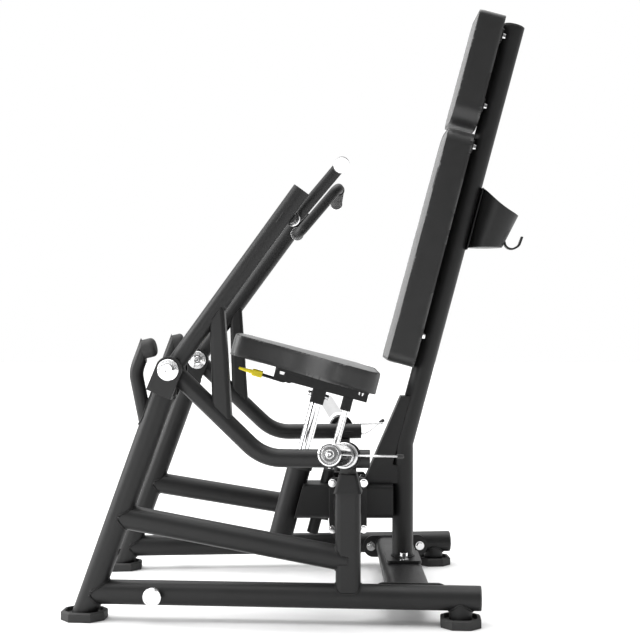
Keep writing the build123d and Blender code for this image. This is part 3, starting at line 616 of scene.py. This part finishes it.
# The horn's end: a rolled rim, two turned grooves and a centre mark.
horn_tip = HORN_ROOT + HORN_WAY * (HORN_LENGTH - 0.0008)
end_profile = [(0.0229, 0.0), (0.0229, 0.0009), (0.0222, 0.0014), (0.0190, 0.0014), (0.0184, 0.0008),
               (0.0172, 0.0008), (0.0166, 0.0016), (0.0096, 0.0018), (0.0090, 0.0012), (0.0080, 0.0012),
               (0.0074, 0.0018), (0.0030, 0.0020), (0.0026, 0.0012), (0.0004, 0.0006)]
both_sides("horn_end", lathe(horn_tip, HORN_WAY, end_profile, 64), chrome, "_arm")


def socket_screw(origin, way, radius, height, socket):
    """A round screw head with a rolled rim and a hexagonal socket."""
    body = [(radius, 0.0), (radius, height - 0.0015), (radius - 0.0012, height), (socket * 1.25, height)]
    sides = 48
    first, second = square_frame(way)
    way = way.normalized()
    verts, faces = lathe(origin, way, body, sides)
    faces.pop()
    rim = (len(body) - 1) * sides
    corner = []
    for k in range(sides):
        turn = 2 * pi * k / sides
        flat = cos(pi / 6) / cos((turn % (pi / 3)) - pi / 6)
        corner.append((first * cos(turn) + second * sin(turn)) * socket * flat)
    start = len(verts)
    for level in (height, height * 0.45):
        verts += [origin + way * level + c for c in corner]
    for k in range(sides):
        after = (k + 1) % sides
        faces.append((rim + k, rim + after, start + after, start + k))
        faces.append((start + k, start + after, start + sides + after, start + sides + k))
    faces.append(tuple(start + sides + k for k in range(sides)))
    return verts, faces


# The pivot's ends: a domed disc turned with fine rings and a screw with a hexagon socket.
DISC_FACE = 0.0475
DISC_R, DISC_CROWN, RING_PITCH = 0.0262, 0.0036, 0.0020
pin_parts = []
for way, screw_r, screw_h in ((OUT, 0.0138, 0.0124), (-OUT, 0.0103, 0.0054)):
    face = PIVOT + way * DISC_FACE
    rings = [(DISC_R, -0.0054), (DISC_R, -0.0006), (0.0256, 0.0006)]
    radius = 0.0250
    while radius > 0.0150:
        dome = DISC_CROWN * (1 - (radius / DISC_R) ** 2)
        rings += [(radius, 0.0009 + dome), (radius - 0.0005, 0.0007 + dome), (radius - 0.0010, 0.0010 + dome)]
        radius -= RING_PITCH
    rings.append((0.0130, 0.0038))
    pin_parts.append(lathe(face, way, rings, 72))
    pin_parts.append(socket_screw(face + way * 0.0005, way, screw_r, screw_h, 0.0056))
both_on_frame("pivot_end", joined(pin_parts))

# The screws that clamp the seat's post in its socket, each with a washer.
CLAMP_W = -0.050
washer = [(0.0078, 0.0), (0.0078, 0.0018), (0.0072, 0.0024), (0.005, 0.0024)]
clamp_parts = []
for way in (-1, 1):
    clamp_parts.append(lathe(on_seat(way * 0.0195, 0, CLAMP_W), SEAT_U * way, washer, 32))
    clamp_parts.append(socket_screw(on_seat(way * 0.0215, 0, CLAMP_W), SEAT_U * way, 0.0068, 0.0078, 0.0032))
verts, faces = joined(clamp_parts)
new_piece("clamp_screws", verts, faces, chrome, "seat", 30)

# Band pegs: a bright domed disc on a dark stub.
peg_face = on_side(-0.362, RAIL_Z) + OUT * (TUBE_R + 0.0190)
peg_disc = lathe(peg_face, OUT, [(0.0227, -0.0062), (0.0229, -0.0055), (0.0229, -0.001), (0.0220, 0.0004),
                                 (0.0180, 0.0010), (0.0172, 0.0006), (0.0090, 0.0012), (0.0084, 0.0007),
                                 (0.0020, 0.0009)], 64)
both_on_frame("peg_disc", peg_disc)

# The grip: a ribbed rubber sleeve with a raised ring at each end.
handle_top = PIVOT + ARM_WAY * 0.657 + ARM_PERP * 0.035 - OUT * HANDLE_IN
grip_way = Vector((-5, -223, -32)).normalized()
grip_start, grip_stop = 0.040, 0.2253 - 0.008
grip_profile = [(0.0151, grip_start), (0.0176, grip_start), (0.0180, grip_start + 0.001),
                (0.0180, grip_start + 0.006)]
rib, rib_pitch = grip_start + 0.007, 0.0042
while rib < grip_stop - 0.010:
    grip_profile += [(0.0164, rib), (0.0171, rib + 0.0006), (0.0171, rib + 0.0026), (0.0164, rib + 0.0032)]
    rib += rib_pitch
grip_profile += [(0.0180, grip_stop - 0.006), (0.0180, grip_stop - 0.001), (0.0174, grip_stop),
                 (0.0151, grip_stop)]
both_sides("ribbed_grip", lathe(handle_top, grip_way, grip_profile, 40), grip_rubber, "_arm",
           "_grip", 30)

# The spring collar: a close coil whose two ends run out to a forked handle.
COIL_R, WIRE_R, COIL_PITCH, COIL_TURNS = 0.0283, 0.0029, 0.0061, 4.5
COIL_STEPS = 40
coil_start, coil_middle = 0.0635, 0.0743
# Distances from the coil's middle line: outward, and across toward the fork's side.
TAIL_REACH = (0.104, 0.07, 0.035, 0.012)
FORK_ROOT = (0.0275, 0.005)
FORK_BOW = ((0.030, 0.008), (0.050, 0.022), (0.070, 0.033), (0.078, 0.0335), (0.092, 0.026),
            (0.112, 0.011), (0.128, -0.001))
TIP_PROFILE = [(0.0045, 0), (0.0055, 0.001), (0.0055, 0.0155), (0.0042, 0.0172), (0.001, 0.0176)]


def spring_collar(fork_way):
    """The wires, a straight tail that runs into the coil and a bowed one, and the cap on their ends."""
    reach = Vector((cos(SWEEP), -sin(SWEEP), 0))
    first = (reach - HORN_WAY * reach.dot(HORN_WAY)).normalized()
    second = HORN_WAY.cross(first)
    start = HORN_ROOT + HORN_WAY * coil_start
    coil = []
    for k in range(int(COIL_TURNS * COIL_STEPS) + 1):
        turn = 2 * pi * k / COIL_STEPS
        spoke = first * cos(turn) + second * sin(turn)
        coil.append(start + HORN_WAY * (COIL_PITCH * turn / (2 * pi)) + spoke * COIL_R)
    middle = HORN_ROOT + HORN_WAY * coil_middle
    straight = [coil[0] + reach * d for d in TAIL_REACH]
    bow = [middle + reach * d + fork_way * f for d, f in (FORK_ROOT,) + FORK_BOW]
    wires = joined([tube(straight + coil, WIRE_R, 12), tube(bow, WIRE_R * 0.86, 12)])
    sleeve = middle + reach * 0.124 + fork_way * 0.0005
    sleeve_way = (reach * 0.014 - fork_way * 0.0095).normalized()
    return wires, lathe(sleeve, sleeve_way, TIP_PROFILE, 24)


for side_name, fork_way in (("left", HORN_WAY), ("right", -UP)):
    wire, cap = spring_collar(fork_way)
    if side_name == "right":
        wire, cap = mirrored_part(wire), mirrored_part(cap)
    body = side_name + "_collar"
    coil = new_piece(body + "_spring", wire[0], wire[1], satin, body, 60)
    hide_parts(side_name + "_spring_collar")
    new_piece(body + "_tip", cap[0], cap[1], cap_plastic, body)


# ---------------------------------------------------------------- cushions
def front_edge(name, normal):
    """The closed line round a pad's front face, in order."""
    work = bmesh.new()
    work.from_mesh(nodes[name].data)
    bmesh.ops.remove_doubles(work, verts=work.verts, dist=1e-6)
    links = {}
    for edge in work.edges:
        facing = [face.normal.dot(normal) > 0.95 for face in edge.link_faces]
        if sum(facing) == 1:
            a, b = edge.verts
            links.setdefault(a, []).append(b)
            links.setdefault(b, []).append(a)
    start = next(iter(links))
    path, last, here = [start.co.copy()], None, start
    while True:
        following = [v for v in links[here] if v is not last]
        last, here = here, following[0]
        if here is start or len(path) > len(links):
            break
        path.append(here.co.copy())
    work.free()
    return path


def even_points(path, pitch):
    """Points at an even spacing round a closed line."""
    filled = []
    for a, b in zip(path, path[1:] + path[:1]):
        steps = max(1, round((b - a).length / 0.0005))
        filled.extend(a.lerp(b, k / steps) for k in range(steps))
    lengths = [0.0]
    for a, b in zip(filled, filled[1:]):
        lengths.append(lengths[-1] + (b - a).length)
    count = max(8, round(lengths[-1] / pitch))
    points, k = [], 0
    for step in range(count):
        goal = lengths[-1] * step / count
        while k < len(lengths) - 1 and lengths[k] < goal:
            k += 1
        points.append(filled[k])
    return points


def strip(line, front, below, above):
    """A strip that follows a closed line, from below it to above it, to measure distances from."""
    count = len(line)
    return BVHTree.FromPolygons(
        [q for p in line for q in (p - front * below, p + front * above)],
        [(2 * k, 2 * k + 1, (2 * k + 3) % (2 * count), (2 * k + 2) % (2 * count)) for k in range(count)])


def across(way, front):
    """A unit vector along the part of a direction that is square to another."""
    return (way - front * way.dot(front)).normalized()


def apply_modifier(obj, name):
    bpy.context.view_layer.objects.active = obj
    bpy.ops.object.modifier_apply(modifier=name)


def swell(obj, pins, frames=20):
    """Blow the cover up with cloth pressure, held at its pinned points, and return where its points end."""
    group = obj.vertex_groups.new(name="held")
    for index, weight in pins.items():
        group.add([index], weight, "REPLACE")
    cloth = obj.modifiers.new("cloth", "CLOTH")
    settings = cloth.settings
    settings.quality = 4
    settings.mass = 0.4
    settings.tension_stiffness = 22
    settings.compression_stiffness = 22
    settings.shear_stiffness = 12
    settings.bending_stiffness = 3
    settings.use_pressure = True
    settings.uniform_pressure_force = 4.0
    settings.vertex_group_mass = "held"
    settings.effector_weights.gravity = 0
    cloth.collision_settings.use_collision = False
    for number in range(1, frames + 1):
        scene.frame_set(number)
    shape = obj.evaluated_get(bpy.context.evaluated_depsgraph_get()).to_mesh()
    moved = [v.co.copy() for v in shape.vertices]
    obj.evaluated_get(bpy.context.evaluated_depsgraph_get()).to_mesh_clear()
    obj.modifiers.remove(cloth)
    obj.vertex_groups.remove(group)
    scene.frame_set(1)
    return moved


# Measures of a cushion, in metres.
EDGE_PITCH, VOXEL, STITCH_PITCH = 0.004, 0.006, 0.0058
INSET, REST_LOW = 0.0015, 0.0015        # how far the cover starts inside the outline and above the back
HELD_LOW, HELD_SEAM = 0.004, 0.0065     # how near the back or the seam a point is held
SIDE_RISE, LEAST_RISE = 0.0022, 0.0002  # how far the sides may move, and any point
SIDE_GAP, BLEND = 0.009, 0.004          # how near the outline a point is on the side, and the blend
BACK_ZONE, CORNER_GAP = 0.008, 0.007    # how low a point is flattened, how near the outline it is lifted
SEAM_REACH, SEAM_PULL = 0.012, 0.0016
BOARD_THICK = 0.005


def start_cover(name, node, origin, front, centre, drop, depth):
    """A copy of a pad's solid, slightly smaller all round and remeshed evenly."""
    obj = bpy.data.objects.new(name, nodes[node].data.copy())
    scene.collection.objects.link(obj)
    for v in obj.data.vertices:
        height = (v.co - origin).dot(front)
        v.co += across(centre - v.co, front) * INSET
        v.co += front * (REST_LOW if height < depth / 2 else -drop)
    remesh = obj.modifiers.new("voxels", "REMESH")
    remesh.mode = "VOXEL"
    remesh.voxel_size = VOXEL
    apply_modifier(obj, "voxels")
    return obj


def crown(obj, origin, front, seam_tree, rise):
    mesh = obj.data
    start = [v.co.copy() for v in mesh.vertices]
    normals = [v.normal.copy() for v in mesh.vertices]
    facing = [normal.dot(front) for normal in normals]
    near = [seam_tree.find_nearest(p)[3] for p in start]
    low = [(p - origin).dot(front) < REST_LOW + HELD_LOW for p in start]
    moved = swell(obj, {k: 1.0 for k in range(len(start)) if low[k] or near[k] < HELD_SEAM})
    for k, v in enumerate(mesh.vertices):
        limit = rise * max(0.0, facing[k]) + SIDE_RISE * (1 - abs(facing[k])) + LEAST_RISE
        step = moved[k] - start[k]
        size = step.length
        v.co = start[k] + (step.normalized() * limit * tanh(size / limit) if size > 1e-7 else Vector())


def fit_to_outline(mesh, origin, front, centre, wall, drop, depth):
    """Stretch the cover flat over the pad's sides, with slight waves, out to the seam and the board."""
    for v in mesh.vertices:
        at, _, _, gap = wall.find_nearest(v.co)
        if gap < SIDE_GAP:
            wave = 0.0006 + 0.0005 * noise.noise(v.co * 14)
            v.co = v.co.lerp(at + across(centre - at, front) * wave, min(1.0, (SIDE_GAP - gap) / BLEND))
        height = (v.co - origin).dot(front)
        if height < BACK_ZONE:
            v.co += front * ((0.0004 if gap < SIDE_GAP else 0.0016) - height)
        else:
            short = depth - drop - height
            near_side = min(1.0, max(0.0, (CORNER_GAP - gap) / BLEND))
            near_front = min(1.0, max(0.0, (SIDE_GAP - short) / BLEND))
            v.co += front * (short * (near_side * near_front))


def pull_seam(mesh, front, centre, seam_tree):
    """Pull the cover in along its front edge, with small puckers."""
    for v in mesh.vertices:
        gap = seam_tree.find_nearest(v.co)[3]
        if gap < SEAM_REACH:
            pull = SEAM_PULL * (1 - gap / SEAM_REACH) ** 2 * (1 + 0.35 * noise.noise(v.co * 90))
            inward = centre - front * 0.03 - v.co
            v.co += inward.normalized() * pull


def add_stitches(name, seam, surface, centre, front, body):
    """Stitches on the cover, just inside the seam."""
    line = even_points(seam, STITCH_PITCH)
    stitches = []
    for k, point in enumerate(line):
        along = (line[(k + 1) % len(line)] - line[k - 1]).normalized()
        inside = front.cross(along)
        if inside.dot(centre - point) < 0:
            inside = -inside
        hit = surface.ray_cast(point + inside * 0.006 + front * 0.05, -front, 0.1)[0]
        if hit is None:
            continue
        hit += front * 0.0003
        steps = (-0.0019, -0.0012, 0.0, 0.0012, 0.0019)
        path = [hit + along * d - front * (0.0006 if abs(d) > 0.0015 else 0.0) for d in steps]
        stitches.append(tube(path, [0.0003, 0.00055, 0.0006, 0.00055, 0.0003], 6))
    verts, faces = joined(stitches)
    new_piece(name + "_stitches", verts, faces, thread, body, 80)


def add_board(name, edge, centre, front, depth, body):
    """The board behind a cushion, with the cover folded over its rim."""
    count = len(edge)
    verts = []
    for scale, lift in ((0.965, 0.0012), (0.978, 0.0022), (0.972, BOARD_THICK)):
        verts += [centre + (p - centre) * scale - front * (depth - lift) for p in edge]
    faces = [tuple(range(count)), tuple(range(2 * count, 3 * count))]
    for level in (0, count):
        faces += [(level + k, level + (k + 1) % count, level + count + (k + 1) % count, level + count + k)
                  for k in range(count)]
    new_piece(name + "_board", verts, faces, backing, body, 40)


def cushion(name, node, origin, front, body, drop, rise, depth):
    """A pad: the CAD solid's outline with a crowned cover, a sunk seam, stitches and a backing board.

    Pressure gives the front its crown. The sides and the outline are set by code, from the CAD solid.
    """
    edge = even_points(front_edge(node, front), EDGE_PITCH)
    seam = [p - front * drop for p in edge]
    centre = sum(edge, Vector()) / len(edge)
    wall = strip(edge, front, depth + 0.01, 0.01)
    seam_tree = strip(seam, front, 0.0008, 0.0008)
    obj = start_cover(name, node, origin, front, centre, drop, depth)
    crown(obj, origin, front, seam_tree, rise)
    divide = obj.modifiers.new("smooth", "SUBSURF")
    divide.levels = divide.render_levels = 1
    apply_modifier(obj, "smooth")
    mesh = obj.data
    mesh.materials.clear()
    mesh.materials.append(leather)
    for polygon in mesh.polygons:
        polygon.use_smooth = True
        polygon.material_index = 0
    fit_to_outline(mesh, origin, front, centre, wall, drop, depth)
    pull_seam(mesh, front, centre, seam_tree)
    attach(obj, body)
    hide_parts(node)
    surface = BVHTree.FromPolygons([v.co for v in mesh.vertices], [p.vertices for p in mesh.polygons])
    add_stitches(name, seam, surface, centre, front, body)
    add_board(name, edge, centre, front, depth, body)
    return surface


PAD_FOOT, PAD_DEPTH, SEAT_DEPTH = 0.035, 0.075, 0.058
PAD_DROP, PAD_RISE = 0.0035, 0.0075
pad_origin = on_back(0, 0, PAD_FOOT)
SEAT_DROP, SEAT_RISE = 0.002, 0.006
back_surface = cushion("back_cushion", "back_pad", pad_origin, BACK_M, "frame",
                       PAD_DROP, PAD_RISE, PAD_DEPTH)
cushion("head_cushion", "head_pad", pad_origin, BACK_M, "frame", PAD_DROP, PAD_RISE, PAD_DEPTH)
cushion("seat_cushion", "seat_pad", SEAT_O, SEAT_W, "seat", SEAT_DROP, SEAT_RISE, SEAT_DEPTH)

TAB_T, TAB_HALF, TAB_Y = 0.707, 0.028, (-0.1045, -0.0885)


def add_tab():
    """A plain dark cloth tab, sewn flat at the edge of the back cushion."""
    rows, columns = 15, 5
    count = rows * columns
    verts = []
    for row in range(rows):
        for column in range(columns):
            t = TAB_T - TAB_HALF + 2 * TAB_HALF * row / (rows - 1)
            y = TAB_Y[0] + (TAB_Y[1] - TAB_Y[0]) * column / (columns - 1)
            hit = back_surface.ray_cast(on_back(t, y, 0.16), -BACK_M, 0.2)[0] or on_back(t, y, 0.108)
            verts.append(hit + BACK_M * 0.0006)
    verts += [v - BACK_M * 0.0009 for v in verts]
    faces = []
    for row in range(rows - 1):
        for column in range(columns - 1):
            a = row * columns + column
            faces.append((a, a + 1, a + columns + 1, a + columns))
            faces.append((count + a + columns, count + a + columns + 1, count + a + 1, count + a))
    border = list(range(columns)) + [r * columns + columns - 1 for r in range(1, rows)]
    border += [(rows - 1) * columns + k for k in range(columns - 2, -1, -1)]
    border += [r * columns for r in range(rows - 2, 0, -1)]
    faces += [(a, b, count + b, count + a) for a, b in zip(border[-1:] + border[:-1], border)]
    new_piece("back_tab", verts, faces, label_cloth, "frame", 60)


add_tab()
make_stage()
make_camera()
scene.view_settings.view_transform = "Standard"
